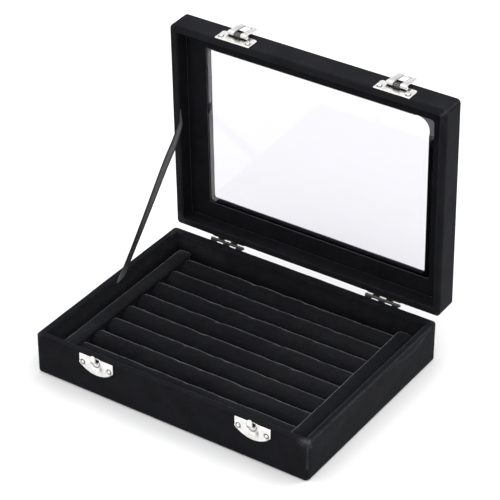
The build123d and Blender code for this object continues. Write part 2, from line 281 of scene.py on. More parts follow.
def walk_round(half_x, half_y, corners, middle=(0.0, 0.0)):
    """A closed walk round a rectangle with rounded corners: front, right, back, left. The corners' radii
    are those at the front right, back right, back left and front left."""
    right_front, right_back, left_back, left_front = corners
    ends = [
        ((-half_x, -half_y), (half_x, -half_y), left_front, right_front, long_places),
        ((half_x, -half_y), (half_x, half_y), right_front, right_back, short_places),
        ((half_x, half_y), (-half_x, half_y), right_back, left_back, long_places),
        ((-half_x, half_y), (-half_x, -half_y), left_back, left_front, short_places),
    ]
    points = []
    for start, end, first, last, places in ends:
        start, end = np.array(start), np.array(end)
        along = (end - start) / np.linalg.norm(end - start)
        inward = np.array((-along[1], along[0]))
        low, high = start + along * first, end - along * last
        for place in places:
            share = (place + 1) / 2
            points.append(low + (high - low) * share)
        centre = high + inward * last
        for turn in corner_turns:
            points.append(centre + last * (along * sin(turn) - inward * cos(turn)))
    return np.array(points) + np.array(middle)


def case_loop(inset, height):
    """The walk round the case at that inset from its outside, at that height."""
    radius = max(case_corner - inset, least_corner)
    flat = walk_round(half_width - inset, half_depth - inset, [radius] * 4)
    return np.column_stack([flat, np.full(len(flat), height)])


def bend_points(inset, height, radius, start, end, steps):
    """Points of a rounded edge in the case's wall section, as inset and height; angles in degrees."""
    turns = np.radians(np.linspace(start, end, steps + 1))
    return [(inset + radius * cos(turn), height + radius * sin(turn)) for turn in turns]


def run_points(first, last, step):
    """Points of a straight run of a section, without its ends."""
    first, last = np.array(first), np.array(last)
    count = max(2, int(round(np.linalg.norm(last - first) / step)))
    return [tuple(first + (last - first) * k / count) for k in range(1, count)]


def loft(loops, closed):
    """Points and faces through loops with equal numbers of points. A closed one joins its last loop to its
    first; an open one gets a cap at each end."""
    count = len(loops[0])
    points = np.concatenate(loops)
    rows = len(loops)
    faces = []
    for row in range(rows if closed else rows - 1):
        here, there = row * count, ((row + 1) % rows) * count
        for k in range(count):
            nxt = (k + 1) % count
            faces.append((here + k, here + nxt, there + nxt, there + k))
    if not closed:
        faces.append(tuple(range(count))[::-1])
        faces.append(tuple(range((rows - 1) * count, rows * count)))
    return points, faces


def outward(mesh):
    """Turns the faces outward, so that their shading and volume are right."""
    work = bmesh.new()
    work.from_mesh(mesh)
    bmesh.ops.recalc_face_normals(work, faces=work.faces)
    work.to_mesh(mesh)
    work.free()


def unevenness(point, size, seed):
    """Smooth random hills about a size, in millimetres, from -1 to 1."""
    return noise.noise(Vector(point) / size + Vector((seed, 2.3 * seed, 0.7 * seed)))


def lay_velvet(piece, wave, seed, ridges=(), moved=None):
    """Moves a skin in or out a little, as glued velvet lies, and raises ridges where it is folded. A ridge
    is a start, an end, a height and a half width, in millimetres."""
    outward(piece.data)
    normals = [vertex.normal.copy() for vertex in piece.data.vertices]
    for vertex, normal in zip(piece.data.vertices, normals):
        at = vertex.co * 1000
        if moved and not moved(at):
            continue
        lift = wave * (0.7 * unevenness(at, 17.0, seed) + 0.3 * unevenness(at, 5.0, seed + 9))
        for start, end, height, spread in ridges:
            start, end = Vector(start), Vector(end)
            run = end - start
            share = min(1.0, max(0.0, (at - start).dot(run) / run.length_squared))
            off = (at - start - run * share).length
            if off < 3 * spread:
                lift += height * exp(-((off / spread) ** 2))
        vertex.co += normal * lift / 1000


def paint_wear_and_light(piece, strokes, least=0.0):
    """Marks where the pile has wear, and where light and highlights are painted on as paler nap: a stroke is
    a start, an end, a reach in millimetres and a strength.
    """
    wear_and_painted_light = piece.data.attributes.new("wear_and_painted_light", "FLOAT", "POINT")
    values = []
    for vertex in piece.data.vertices:
        at = vertex.co * 1000
        value = least * (1.0 + unevenness(at, 26.0, 4.0))
        for start, end, reach, strength in strokes:
            start, run = Vector(start), Vector(end) - Vector(start)
            share = min(1.0, max(0.0, (at - start).dot(run) / max(run.length_squared, 1e-6)))
            away = (at - start - run * share).length / reach
            if away < 3:
                value = max(value, strength * exp(-(away**2)) * (0.8 + 0.4 * unevenness(at, 4.0, 7.0)))
        values.append(value)
    wear_and_painted_light.data.foreach_set("value", values)


def near_outside(at, depth):
    """Whether a point lies less than that depth inside the case's outer walls, in millimetres."""
    return max(abs(at.x) - half_width, abs(at.y) - half_depth) > -depth


def rim_section(top, way):
    """The velvet's outer face from inside the rim, over it and down the wall; way is 1 for a rim that faces
    up and -1 for one that faces down."""
    points = [(rim_width, velvet_thick)] + bend_points(rim_width - 0.7, 0.7, 0.7, 0, -90, 4)
    points += run_points((4.3, 0.0), (1.2, 0.0), 0.6)
    points += bend_points(1.2, 1.2, 1.2, -90, -180, 6)
    return [(inset, top - way * down) for inset, down in points]


def base_cover_loops():
    """Loops round the base: outside from the rim to the hem, then back along the boards."""
    section = rim_section(rim_height, 1)
    section += run_points((0.0, 26.8), (0.0, 1.6), 0.9)
    section += bend_points(1.6, 1.6, 1.6, 180, 270, 5)
    section += run_points((1.6, 0.0), (hem_width, 0.0), 1.5)
    section += [(hem_width, 0.0), (hem_width + 0.1, velvet_thick / 2), (hem_width, velvet_thick)]
    section += [(5.0, velvet_thick), (velvet_thick, velvet_thick)]
    section += run_points((velvet_thick, velvet_thick), (velvet_thick, 27.2), 5.0)
    section += [(velvet_thick, 27.2), (3.0, 27.2)]
    return [case_loop(inset, height) for inset, height in section]


points, faces = loft(base_cover_loops(), True)
base_cover = millimetre_mesh("base_velvet_skin", points, faces, black_velvet)
base_folds = []
base_wear_and_light = []
for side_x in (-1, 1):
    for side_y in (-1, 1):
        outer = (side_x * 99.3, side_y * 74.3, 27.9)
        inner = (side_x * 95.3, side_y * 70.3, 28.0)
        base_folds.append((outer, inner, 0.1, 0.7))
        fold_top = (side_x * 98.0, side_y * 75.0, 26.0)
        fold_foot = (side_x * 98.2, side_y * 75.0, 3.0)
        base_folds.append((fold_top, fold_foot, 0.18, 0.8))
        corner = (side_x * 98.8, side_y * 73.8, 28.0)
        base_wear_and_light.append((corner, corner, 2.2, 0.35))
        base_wear_and_light.append((corner, (side_x * 98.8, side_y * 73.8, 22.0), 1.8, 0.16))
base_wear_and_light += [
    ((95.5, -74.0, 28.0), (98.5, -73.0, 28.0), 2.4, 0.9),
    ((99.0, -73.5, 26.5), (99.4, -72.0, 24.5), 1.4, 0.5),
    ((99.1, -74.1, 27.0), (99.3, -74.3, 9.0), 0.8, 0.42),
    # Painted highlights: pale lines along the right rim's outer and inner edges.
    ((99.5, -70.0, 27.6), (99.5, 68.0, 27.6), 0.8, 0.34),
    ((95.6, -68.0, 27.9), (95.6, 66.0, 27.9), 0.7, 0.26),
    ((-97.5, 66.0, 27.9), (-94.0, 73.0, 27.9), 3.5, 0.25),
    # Painted light: the right-hand outer face made paler in three broad strokes.
    ((99.9, 28.0, 24.5), (99.9, 58.0, 24.8), 3.5, 0.07),
    ((99.9, -60.0, 20.0), (99.9, -20.0, 22.0), 5.0, 0.05),
    ((99.9, 0.0, 12.0), (99.9, 30.0, 18.0), 6.0, 0.04),
]
base_folds += [
    ((100.0, 14.0, 26.9), (100.0, 40.0, 26.0), 0.45, 0.8),
    ((100.0, 40.0, 26.0), (100.0, 50.0, 26.9), 0.5, 0.7),
    ((100.0, 32.0, 24.4), (100.0, 46.0, 23.8), 0.45, 0.8),
    ((100.0, 46.0, 23.8), (100.0, 56.0, 26.0), 0.4, 0.8),
    ((100.0, 50.0, 26.6), (100.0, 64.0, 27.0), 0.35, 0.7),
]
lay_velvet(base_cover, 0.16, 3.0, base_folds, lambda at: at.z > 0.9 and near_outside(at, rim_width))
paint_wear_and_light(base_cover, base_wear_and_light, 0.006)
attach(base_cover, "base")
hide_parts("base_velvet_cover")

# ---- Velvet lining of the base ----
# One piece of the same velvet, glued on the floor and up the four inner walls, with its corners cut away. Its
# edge is butted against the velvet that is turned over the rim.

lining_floor = 4.6
lining_edge = 4.9


def base_lining_loops():
    """Loops from the middle of the floor out to the walls, up them, and back underneath."""
    section = [(68.0, lining_floor), (50.0, lining_floor), (30.0, lining_floor), (18.0, lining_floor)]
    section += run_points((18.0, lining_floor), (5.7, lining_floor), 1.5)
    section += bend_points(5.7, lining_floor + 0.7, 0.7, 270, 180, 4)
    section += run_points((5.0, lining_floor + 0.7), (5.0, 27.2), 1.2)
    section += [(5.0, 27.2), (4.2, 27.2), (4.2, 15.0), (4.2, 3.8), (18.0, 3.8), (68.0, 3.8)]
    return [case_loop(inset, height) for inset, height in section]


points, faces = loft(base_lining_loops(), False)
base_lining = millimetre_mesh("base_velvet_lining_skin", points, faces, black_velvet)
lay_velvet(
    base_lining, 0.14, 11.0, moved=lambda at: at.z > 4.0 and not near_outside(at, lining_edge)
)
# Painted light: the left and back inner walls, which lie in shade, are made paler in broad strokes.
lining_painted_light = [
    ((-95.0, -62.0, 18.0), (-95.0, 40.0, 20.0), 10.0, 0.22),
    ((-95.0, 40.0, 21.0), (-92.0, 70.0, 23.0), 7.0, 0.27),
    ((-95.0, -64.0, 9.0), (-95.0, 66.0, 9.0), 6.0, 0.12),
    ((-90.0, 70.0, 22.0), (-60.0, 70.0, 20.0), 7.0, 0.25),
    ((-60.0, 70.0, 20.0), (85.0, 70.0, 20.0), 8.0, 0.12),
]
paint_wear_and_light(base_lining, lining_painted_light, 0.015)
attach(base_lining, "base")
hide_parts("base_velvet_lining")

# ---- Sheet under the bottom ----
# Black flocked paper, cut a little smaller than the bottom. It is glued on last, inside the velvet's hem, and
# covers the bare board.


def flocked_paper():
    """Dull black paper with a fine felt of dust."""
    material, tree, shader = start_finish("flocked_paper")
    flock = grain(tree, 1500, detail=4, coarse=0.7)
    felt = two_tone(tree, flock, (0.02, 0.02, 0.021), (0.045, 0.045, 0.047))
    tree.links.new(felt, shader.inputs["Base Color"])
    tree.links.new(between(tree, flock, 0.85, 1.0), shader.inputs["Roughness"])
    raise_grain(tree, shader, flock, 0.0002, 0.6)
    return material


finish_nodes(flocked_paper(), "base_bottom_sheet")

# ---- Ring rolls ----
# Eight rolls of soft foam, each in its own sleeve of velvet, side by side on the tray's board. A ring's band
# is pushed into the groove between two of them. Their ends are pressed into the side rails.

roll_count = 8
roll_pitch = 129.0 / roll_count
roll_half = 81.2
roll_radius = 8.0
roll_foot = 6.6
roll_side = 9.7
roll_top = 18.2
foot_top = 8.5
creased_above = 8.0
tray_velvet = velvet("tray_velvet", (0.0032, 0.0033, 0.0043), (0.0068, 0.0071, 0.0088), 1.0, (0.4, 1, 1))


def roll_loop(x, shrink, middle_y):
    """A roll's outline at one place along it: flat foot, upright sides and a round crown, a little full at
    its shoulders."""
    radius = roll_radius - shrink
    middle_z = roll_side - 0.6 * shrink
    crown = np.radians(np.linspace(0, 180, 33))
    outline = [
        (radius * np.sign(cos(turn)) * abs(cos(turn)) ** 0.88, middle_z + (radius - 0.2) * sin(turn) ** 0.88)
        for turn in crown
    ]
    foot = roll_foot + 0.5 * shrink
    outline += [(-radius, middle_z - 1.2), (-radius + 0.1, foot + 0.8), (-radius + 0.8, foot)]
    outline += [(-radius / 2, foot), (0.0, foot), (radius / 2, foot)]
    outline += [(radius - 0.8, foot), (radius - 0.1, foot + 0.8), (radius, middle_z - 1.2)]
    return np.array([(x, middle_y + across, height) for across, height in outline])


def roll_loops(middle_y):
    """Loops along a roll, with flat ends whose edge is a little rounded where the sleeve is tucked in."""
    end_steps = [(0.0, 6.5), (0.0, 3.0), (0.05, 1.2), (0.3, 0.5)]
    end_steps += [(0.8, 0.15), (1.6, 0.03), (3.0, 0.0), (5.0, 0.0)]
    stations = [(-roll_half + run, shrink) for run, shrink in end_steps]
    stations += [(x, 0.0) for x in np.linspace(-roll_half + 7.5, roll_half - 7.5, 60)]
    stations += [(roll_half - run, shrink) for run, shrink in reversed(end_steps)]
    return [roll_loop(x, shrink, middle_y) for x, shrink in stations]


def apply_modifiers(piece):
    """Makes the piece's modifiers part of its mesh."""
    bpy.context.view_layer.update()
    shaped = piece.evaluated_get(bpy.context.evaluated_depsgraph_get())
    plain = bpy.data.meshes.new_from_object(shaped)
    piece.modifiers.clear()
    piece.data = plain


def puff_up(piece, grid, cap, held_below, most):
    """Fills a velvet sleeve with soft foam: the skin is blown up as cloth, ten times enlarged so that it
    moves freely, and a millimetre is 0.01 there. Its foot is held, no point moves further than the cap, and
    none leaves the room it has, given as its least and greatest corner in millimetres."""
    skin = piece.data
    skin.transform(Matrix.Scale(10, 4))
    remesh = piece.modifiers.new("grid", "REMESH")
    remesh.mode = "VOXEL"
    remesh.voxel_size = grid / 100
    apply_modifiers(piece)
    mesh = piece.data
    start = np.array([tuple(vertex.co) for vertex in mesh.vertices])
    foot = piece.vertex_groups.new(name="foot")
    foot.add([k for k in range(len(start)) if start[k, 2] * 100 < held_below], 1.0, "REPLACE")
    blown = piece.modifiers.new("blown", "CLOTH")
    cloth = blown.settings
    cloth.mass = 0.02
    cloth.tension_stiffness = 8.0
    cloth.compression_stiffness = 8.0
    cloth.shear_stiffness = 4.0
    cloth.bending_stiffness = 1.5
    cloth.shrink_min = -0.015
    cloth.use_pressure = True
    cloth.uniform_pressure_force = 4.0
    cloth.vertex_group_mass = "foot"
    cloth.effector_weights.gravity = 0.0
    scene = bpy.context.scene
    for step in range(1, 21):
        scene.frame_set(step)
    apply_modifiers(piece)
    scene.frame_set(1)
    ended = np.array([tuple(vertex.co) for vertex in piece.data.vertices])
    moved = ended - start
    length = np.maximum(np.linalg.norm(moved, axis=1), 1e-9)
    ended = (start + moved * np.minimum(1.0, cap / 100 / length)[:, None]) * 100
    for vertex, place in zip(piece.data.vertices, ended / 1000):
        vertex.co = place
    piece.vertex_groups.clear()
    even = piece.modifiers.new("even", "SMOOTH")
    even.factor = 0.5
    even.iterations = 3
    apply_modifiers(piece)
    for vertex in piece.data.vertices:
        vertex.co = np.clip(np.array(vertex.co) * 1000, most[0], most[1]) / 1000
    smooth = piece.modifiers.new("fine", "SUBSURF")
    smooth.levels = 1
    apply_modifiers(piece)
    piece.data.polygons.foreach_set("use_smooth", [True] * len(piece.data.polygons))


for number in range(1, roll_count + 1):
    middle_y = (number - (roll_count + 1) / 2) * roll_pitch
    points, faces = loft(roll_loops(middle_y), False)
    roll = millimetre_mesh(f"soft_roll_{number}", points, faces, tray_velvet)
    lay_velvet(roll, 0.12, 20.0 + number, moved=lambda at: at.z > creased_above)
    room = ((-roll_half, middle_y - 8.03, roll_foot), (roll_half, middle_y + 8.03, roll_top))
    puff_up(roll, 1.7, 0.32, foot_top, room)
    # Painted light: each crown is made paler towards its right-hand end.
    paint_wear_and_light(roll, [((25.0, middle_y, 17.5), (79.0, middle_y, 17.5), 10.0, 0.05)], 0.004)
    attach(roll, "base")
    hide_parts(f"ring_roll_{number}")

# ---- Side rails ----
# A strip of firmer foam in velvet, glued down at each side, a little higher than the rolls. Its soft top
# leans over their ends and hides them.

rail_middle = 84.62
rail_width = 9.75
rail_length = 129.0
rail_top = 21.1
rail_lip = 1.1
rail_rubs = [
    ((-88.0, 58.0, 20.5), (-82.0, 62.5, 20.5), 3.0, 0.2),
    ((-84.0, -40.0, 20.7), (-86.0, -58.0, 20.7), 4.0, 0.12),
    ((-86.0, 0.0, 20.7), (-83.0, 36.0, 20.7), 4.5, 0.1),
    ((88.0, 56.0, 20.5), (88.0, 62.0, 20.5), 2.0, 0.08),
]


def rail_loop(middle_x, shrink, height):
    """The walk round a rail at one height, drawn in by the shrink."""
    half_x, half_y = rail_width / 2 - shrink, rail_length / 2 - shrink
    turns = np.radians(np.linspace(0, 90, 7))
    corner = min(2.5, half_x - 0.05)
    outline = []
    for sign_x, sign_y, start in ((1, 1, 0), (-1, 1, 90), (-1, -1, 180), (1, -1, 270)):
        centre = (sign_x * (half_x - corner), sign_y * (half_y - corner))
        for turn in turns + radians(start):
            outline.append((centre[0] + corner * cos(turn), centre[1] + corner * sin(turn)))
        if start in (90, 270):
            run = -sign_y * np.linspace(-1, 1, 52)[1:-1] * (half_y - corner)
            outline += [(sign_x * half_x, y) for y in (run if start == 90 else run)]
    return np.array([(middle_x + x, y, height) for x, y in outline])


def rail_loops(middle_x):
    """Loops up a rail, over its soft top edge to a slightly crowned top."""
    steps = [(3.5, roll_foot), (0.3, roll_foot), (0.0, roll_foot + 0.5)]
    steps += [(0.0, z) for z in np.linspace(8.0, 18.4, 8)]
    steps += [(2.2 * (1 - cos(t)), 18.4 + 2.1 * sin(t)) for t in np.radians((20, 40, 60, 78))]
    steps += [(2.6, 20.58), (3.4, 20.66), (4.2, 20.7), (4.8, 20.7)]
    return [rail_loop(middle_x, shrink, height) for shrink, height in steps]


for side, sign in (("left", -1), ("right", 1)):
    points, faces = loft(rail_loops(sign * rail_middle), False)
    rail = millimetre_mesh(f"rail_pad_{side}", points, faces, tray_velvet)
    lay_velvet(rail, 0.18, 40.0 + sign, moved=lambda at: at.z > creased_above)
    faces_x = (sign * (rail_middle - rail_width / 2), sign * (rail_middle + rail_width / 2 + 0.2))
    room = ((min(faces_x), -64.6, roll_foot), (max(faces_x), 64.6, rail_top))
    puff_up(rail, 1.3, 0.4, foot_top, room)
    for vertex in rail.data.vertices:
        inward = min(1.0, max(0.0, 0.5 - (sign * vertex.co.x * 1000 - rail_middle) / rail_width))
        near_top = min(1.0, max(0.0, (vertex.co.z * 1000 - 18.25) / 0.5))
        vertex.co.x -= sign * rail_lip / 1000 * inward * near_top
    paint_wear_and_light(rail, rail_rubs, 0.02)
    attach(rail, "base")
    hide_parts(f"side_rail_{side}")

# ---- Velvet over the lid ----
# The same velvet round the lid's frame of boards, with a window cut in it. The lid is drawn shut, then
# turned back about the hinge pins, like every piece that rides on it.

lid_rim = 28.5
lid_top = 46.0
hinge_line = Vector((0.0, 0.07675, 0.028))
window_left, window_right, window_front, window_back = -80.3, 81.5, -57.0, 57.0


def turn_about(pivot, degrees):
    """A turn about a line that runs from left to right through the pivot."""
    turn = Matrix.Rotation(radians(degrees), 4, "X")
    return Matrix.Translation(pivot) @ turn @ Matrix.Translation(-pivot)


open_lid = turn_about(hinge_line, -88.2)


def window_loop(height, inset=0.0):
    """The walk round the window at that height; its corners were cut by hand and differ."""
    middle = ((window_left + window_right) / 2, (window_front + window_back) / 2)
    half_x = (window_right - window_left) / 2 - inset
    half_y = (window_back - window_front) / 2 - inset
    flat = walk_round(half_x, half_y, [max(r - inset, 0.5) for r in (8.5, 3.5, 1.4, 4.5)], middle)
    return np.column_stack([flat, np.full(len(flat), height)])


def lid_cover_loops():
    """Loops round the lid: over the rim, up the wall, across the top to the window, and back underneath."""
    loops = [case_loop(inset, height) for inset, height in rim_section(lid_rim, -1)]
    section = run_points((0.0, lid_rim + 1.2), (0.0, lid_top - 1.6), 0.9)
    section += bend_points(1.6, lid_top - 1.6, 1.6, 180, 90, 5)
    section += run_points((1.6, lid_top), (10.0, lid_top), 1.5)
    loops += [case_loop(inset, height) for inset, height in section]
    last, edge = case_loop(10.0, lid_top), window_loop(lid_top)
    loops += [last * (1 - share) + edge * share for share in (0.0, 0.2, 0.4, 0.6, 0.8, 0.93)]
    loops += [window_loop(lid_top - 0.1), window_loop(lid_top - velvet_thick)]
    under = lid_top - velvet_thick
    loops += [case_loop(inset, height) for inset, height in ((10.0, under), (velvet_thick, under))]
    inner_wall = run_points((velvet_thick, under), (velvet_thick, lid_rim + velvet_thick), 4.0)
    loops += [case_loop(inset, height) for inset, height in inner_wall]
    loops += [case_loop(velvet_thick, lid_rim + velvet_thick), case_loop(3.0, lid_rim + velvet_thick)]
    return loops


points, faces = loft(lid_cover_loops(), True)
lid_cover = millimetre_mesh("lid_velvet_skin", points, faces, black_velvet)
lid_folds = []
lid_wear_and_light = []
for side_x in (-1, 1):
    for side_y in (-1, 1):
        outer = (side_x * 99.3, side_y * 74.3, 28.6)
        inner = (side_x * 95.3, side_y * 70.3, 28.5)
        lid_folds.append((outer, inner, 0.1, 0.7))
        fold_foot = (side_x * 98.2, side_y * 75.0, 30.0)
        fold_top = (side_x * 98.2, side_y * 75.0, 44.0)
        lid_folds.append((fold_foot, fold_top, 0.2, 0.7))
        corner = (side_x * 98.8, side_y * 73.8, 28.6)
        lid_wear_and_light.append((corner, corner, 2.2, 0.3))
lid_wear_and_light += [
    # Painted highlight: a pale line along the fold at the front right corner, on the rim and up the corner.
    ((95.5, -70.5, 28.5), (99.0, -74.0, 28.6), 0.9, 0.5),
    ((99.4, -74.4, 29.0), (99.4, -74.4, 44.5), 0.7, 0.5),
    # Painted light: the right-hand face is made paler in two broad strokes.
    ((99.5, -60.0, 36.0), (99.5, -30.0, 38.0), 6.0, 0.09),
    ((99.5, 10.0, 34.0), (99.5, 50.0, 40.0), 6.0, 0.08),
    ((60.0, -75.0, 36.0), (92.0, -75.0, 40.0), 7.0, 0.05),
    ((-92.0, -75.0, 34.0), (-76.0, -75.0, 42.0), 5.0, 0.05),
    ((92.0, -69.0, 28.5), (97.0, -66.0, 28.5), 3.5, 0.12),
    ((-98.5, 68.5, 28.5), (-94.0, 73.5, 28.5), 2.6, 0.4),
]
lay_velvet(
    lid_cover,
    0.16,
    5.0,
    lid_folds,
    lambda at: at.z > 45.6 or (at.z < 45.0 and near_outside(at, rim_width)),
)
paint_wear_and_light(lid_cover, lid_wear_and_light, 0.06)
lid_cover.data.transform(open_lid)
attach(lid_cover, "lid")
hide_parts("lid_velvet_cover")

# ---- Velvet lining of the lid ----
# A strip of the same velvet, glued round the inner faces of the lid's walls. It runs from the turned-over rim
# to the glass.


def lid_lining_loops():
    """Loops round the inner walls of the lid, and back behind them."""
    section = [(5.0, lid_rim + velvet_thick)] + run_points((5.0, 29.3), (5.0, 41.8), 1.2)
    section += [(5.0, 41.8), (4.2, 41.8), (4.2, 35.0), (4.2, 29.3)]
    return [case_loop(inset, height) for inset, height in section]


points, faces = loft(lid_lining_loops(), True)
lid_lining = millimetre_mesh("lid_velvet_lining_skin", points, faces, black_velvet)
lay_velvet(
    lid_lining, 0.14, 15.0, moved=lambda at: 29.5 < at.z < 41.0 and not near_outside(at, lining_edge)
)
paint_wear_and_light(lid_lining, [])
lid_lining.data.transform(open_lid)
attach(lid_lining, "lid")
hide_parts("lid_velvet_lining")

# ---- Window board ----
# The lid's top, of grey board with the window cut out by hand. The cover's velvet is drawn in over most of
# the cut and glued underneath, and the raw edge shows at the left and in one corner.


def ring_between(outer_inset, inner, section):
    """Loops of a flat ring, from an opening out to an inset of the case. Each step of its section is a share
    from the opening to the outside, an inset from the opening and a height."""
    loops = []
    for share, inset, height in section:
        edge = inner(height, inset)
        loops.append(edge * (1 - share) + case_loop(outer_inset, height) * share)
        loops[-1][:, 2] = height
    return loops


board_low, board_high = 42.06, 45.2
board_section = [(1.0, 0, board_low), (0.5, 0, board_low), (0.1, 0, board_low), (0.0, 0, board_low)]
board_section += [(0.0, 0, 42.9), (0.0, 0, 44.1)]
board_section += [(0.0, 0, board_high), (0.1, 0, board_high), (0.5, 0, board_high), (1.0, 0, board_high)]
points, faces = loft(ring_between(4.2, window_loop, board_section), True)
window_board = millimetre_mesh("window_board", points, faces, grey_board, smooth=False)
outward(window_board.data)
window_board.data.transform(open_lid)
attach(window_board, "lid")
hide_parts("lid_top_board")


def turned_in(name, first, last, slant=0.0):
    """The cover's velvet where it is drawn through the window and glued under the board, between two places
    on the walk round the window. The slant is how far its first end runs askew, in millimetres."""
    edge = window_loop(0.0)[:, :2]
    after, before = np.roll(edge, -1, axis=0), np.roll(edge, 1, axis=0)
    along = after - before
    along /= np.maximum(np.linalg.norm(along, axis=1), 1e-9)[:, None]
    into_board = np.column_stack([along[:, 1], -along[:, 0]])
    section = [(-0.3, 45.25), (-0.34, 43.6), (-0.3, 42.0), (-0.1, 41.84), (2.4, 41.83), (4.6, 41.83)]
    section += [(4.7, 42.0), (2.4, 42.04), (0.06, 42.08), (0.04, 43.6), (0.05, 45.25)]
    loops = []
    for k in range(first, last + 1):
        lean = along[k] * (slant if k == first else 0.0)
        ring = []
        for inward, height in section:
            flat = edge[k] + into_board[k] * inward + lean * (height - 42.0) / 3.4
            ring.append((*flat, height))
        loops.append(np.array(ring))
    points, faces = loft(loops, False)
    strip = millimetre_mesh(name, points, faces, black_velvet)
    outward(strip.data)
    paint_wear_and_light(strip, [])
    strip.data.transform(open_lid)
    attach(strip, "lid")


walk = window_loop(0.0)
front_stop = int(np.argmax(walk[:, 0] > 72.0)) - 1
right_start = next(k for k, (x, y, _) in enumerate(walk) if x > 81.4 and y > -46.0)
back_left = next(k for k, (x, y, _) in enumerate(walk) if y > 56.9 and x < -76.5)
tab_ends = [k for k, (x, y, _) in enumerate(walk) if x < -80.2 and -17.5 < y < -8.0]
turned_in("turn_in_front", 0, front_stop)
turned_in("turn_in_right_and_back", right_start, back_left)
turned_in("turn_in_tab", tab_ends[0], tab_ends[-1], 3.0)

# ---- Inner frame ----
# A thin card under velvet that holds the glass from inside. Its opening was cut by hand, a little larger
# than the window and further to the right.

card_left, card_right, card_front, card_back = -80.5, 86.0, -59.0, 57.5
card_low, card_high = 38.4, 39.8


def card_loop(height, inset=0.0):
    """The walk round the card's opening at that height."""
    middle = ((card_left + card_right) / 2, (card_front + card_back) / 2)
    half_x, half_y = (card_right - card_left) / 2 - inset, (card_back - card_front) / 2 - inset
    flat = walk_round(half_x, half_y, [max(r - inset, 0.4) for r in (2.5, 3.0, 1.2, 2.0)], middle)
    return np.column_stack([flat, np.full(len(flat), height)])


card_section = [(1.0, 0, card_low + 0.3), (0.97, 0, card_low), (0.8, 0, card_low), (0.6, 0, card_low)]
card_section += [(0.4, 0, card_low), (0.2, 0, card_low), (0.06, 0, card_low)]
card_section += [(0.0, -0.45, card_low), (0.0, -0.15, card_low + 0.12), (0.0, 0.0, card_low + 0.45)]
card_section += [(0.0, 0.0, card_high), (0.4, 0, card_high), (1.0, 0, card_high)]
points, faces = loft(ring_between(5.3, card_loop, card_section), True)
inner_frame = millimetre_mesh("inner_frame", points, faces, black_velvet)
lay_velvet(
    inner_frame, 0.12, 8.0, moved=lambda at: at.z < card_low + 0.2 and not near_outside(at, 6.0)
)
paint_wear_and_light(inner_frame, [])
inner_frame.data.transform(open_lid)
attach(inner_frame, "lid")
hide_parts("lid_inner_frame")

# ---- Glass ----
# A pane of clear window glass, cut to drop in between the lid's linings. The inner frame holds it against the
# window board.


def clear_glass():
    """Clear glass with faint wipe marks."""
    material, tree, shader = start_finish("clear_glass")
    wipes = grain(tree, 30, (1, 4, 1), 4, 0.6)
    shader.inputs["Base Color"].default_value = (0.76, 0.755, 0.79, 1.0)
    shader.inputs["Transmission Weight"].default_value = 1.0
    shader.inputs["IOR"].default_value = 1.3
    shader.inputs["Specular IOR Level"].default_value = 0.15
    tree.links.new(between(tree, wipes, 0.0, 0.03, 0.45, 0.8), shader.inputs["Roughness"])
    return material


finish_nodes(clear_glass(), "glass_pane")

# ---- Rear hinges ----
# Two small pressed steel hinges, bright plated, nailed to the back faces. Their knuckles show in the gap
# between the base and the open lid, and the barrels round the pins are darkened.


def plated_metal(name, pale, dull, shine):
    """Thin bright plating, with fine rubbing marks and duller patches. It is darkened by painted shade in its
    hollows and gaps, and along the hinges' barrels.
    """
    material, tree, shader = start_finish(name)
    clouds = grain(tree, 260, detail=3)
    marks = grain(tree, 1400, (1, 0.15, 1), 3, 0.7)
    # This mask darkens the plating: painted shade on the latches, and the hinges' barrels.
    painted_shade_and_dark_barrel = add_node(tree, "ShaderNodeAttribute", {"attribute_name": "painted_shade_and_dark_barrel"}).outputs["Fac"]
    tone = two_tone(tree, clouds, pale, dull)
    tree.links.new(two_tone(tree, painted_shade_and_dark_barrel, tone, (0.035, 0.033, 0.03), 0.0, 1.0), shader.inputs["Base Color"])
    shader.inputs["Metallic"].default_value = 1.0
    tree.links.new(between(tree, marks, shine, shine + 0.18), shader.inputs["Roughness"])
    raise_grain(tree, shader, marks, 0.00005, 0.3)
    return material


hinge_steel = plated_metal("hinge_steel", (0.62, 0.62, 0.61), (0.42, 0.42, 0.41), 0.22)
dark_barrel_reach = 1.25
dark_barrel_strength = 0.93
hinge_nodes = [
    f"hinge_{side}_{part}" for side in ("left", "right") for part in ("base_leaf", "lid_leaf", "pin")
]
finish_nodes(hinge_steel, "hinge_nails_base", "hinge_nails_lid", *hinge_nodes)
# The barrels are darkened within a reach of the pin line.
for node in hinge_nodes:
    shape = cad[node].data
    to_case = cad[node].matrix_world
    from_pin = [(to_case @ vertex.co - hinge_line).yz.length * 1000 for vertex in shape.vertices]
    dark_barrel_mask = shape.attributes.new("painted_shade_and_dark_barrel", "FLOAT", "POINT")
    dark_barrel_mask.data.foreach_set("value", [dark_barrel_strength if away < dark_barrel_reach else 0.0 for away in from_pin])

# ---- Latches ----
# Two pressed latches, nickel plated: a keeper with a hook on the base, and a hasp that turns on a plate on
# the lid. All of them are held by round-headed nails.

nickel = plated_metal("nickel_plate", (0.93, 0.92, 0.90), (0.74, 0.73, 0.71), 0.16)
finish_nodes(nickel, "latch_nails_base", "latch_nails_lid", "hasp_left_pin", "hasp_right_pin")

front_y = -75.0
latch_width = 25.5
latch_middles = {"left": -53.0, "right": 61.5}
nail_inset = 2.8
keeper_nail_z = 22.3
plate_nail_z = 31.7
hasp_pivot = Vector((0.0, -0.0775, 0.0358))
shut_hasp = turn_about(hasp_pivot, 188.0)


